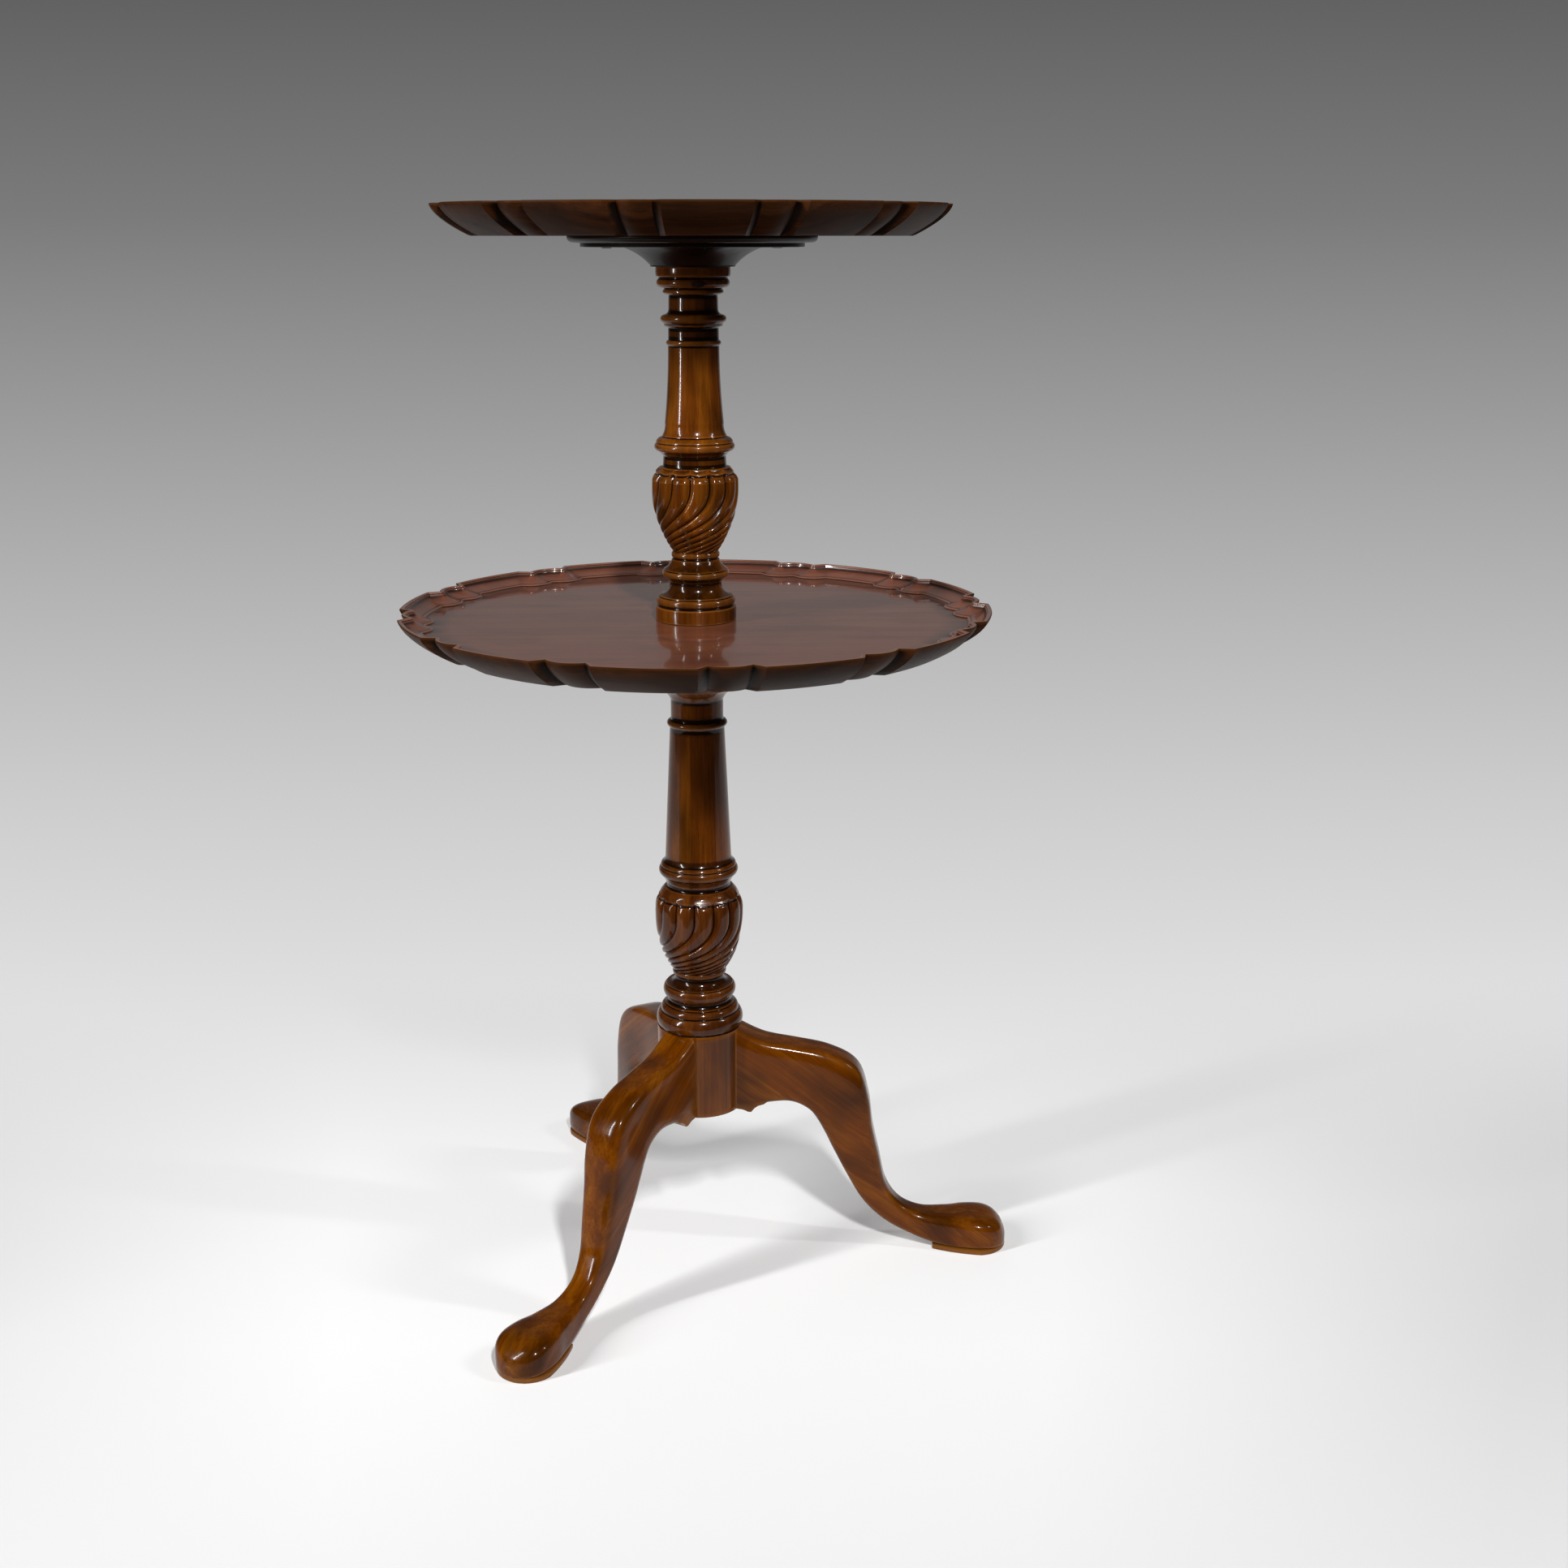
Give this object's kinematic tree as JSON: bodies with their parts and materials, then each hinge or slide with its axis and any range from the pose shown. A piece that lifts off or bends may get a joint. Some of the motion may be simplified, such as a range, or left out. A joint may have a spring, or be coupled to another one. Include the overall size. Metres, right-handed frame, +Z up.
{
  "type": "tiered side table",
  "caption": "Tripod side table with stacked revolving trays, piecrust rims and a turned pillar with spirally carved urns, for serving or display.",
  "frame": {"origin": "middle of the table's footprint at floor level; the pillar's axis stands 12 mm behind it, at y = 0.012244", "axes": "+Z up along the pillar, -Y towards the front leg, +X to the right of it"},
  "size_m": [0.508, 0.5324, 0.9313],
  "materials": {
    "pillar_mahogany": "french polished",
    "leg_mahogany": "french polished",
    "tray_mahogany": "french polished",
    "hidden_wood": "plain",
    "screw_steel": "dull"
  },
  "bodies": {
    "stand": {"lower_column": "pillar_mahogany", "upper_column": "pillar_mahogany", "front_leg": "leg_mahogany", "right_leg": "leg_mahogany", "left_leg": "leg_mahogany", "retaining_peg": "hidden_wood"},
    "upper_tier": {"upper_tray": "tray_mahogany", "upper_boss": "tray_mahogany", "top_spindle": "hidden_wood", "upper_boss_screws": "screw_steel"},
    "lower_tier": {"lower_tray": "tray_mahogany", "lower_boss": "tray_mahogany", "lower_boss_screws": "screw_steel"}
  },
  "joints": [
    {"name": "upper_tray_turn", "type": "hinge", "parent": "stand", "child": "upper_tier", "pos_m": [0, 0.01224, 0.8803], "axis": [0, 0, 1], "continuous": true},
    {"name": "lower_tray_turn", "type": "hinge", "parent": "stand", "child": "lower_tier", "pos_m": [0, 0.01224, 0.542], "axis": [0, 0, 1], "continuous": true}
  ]
}
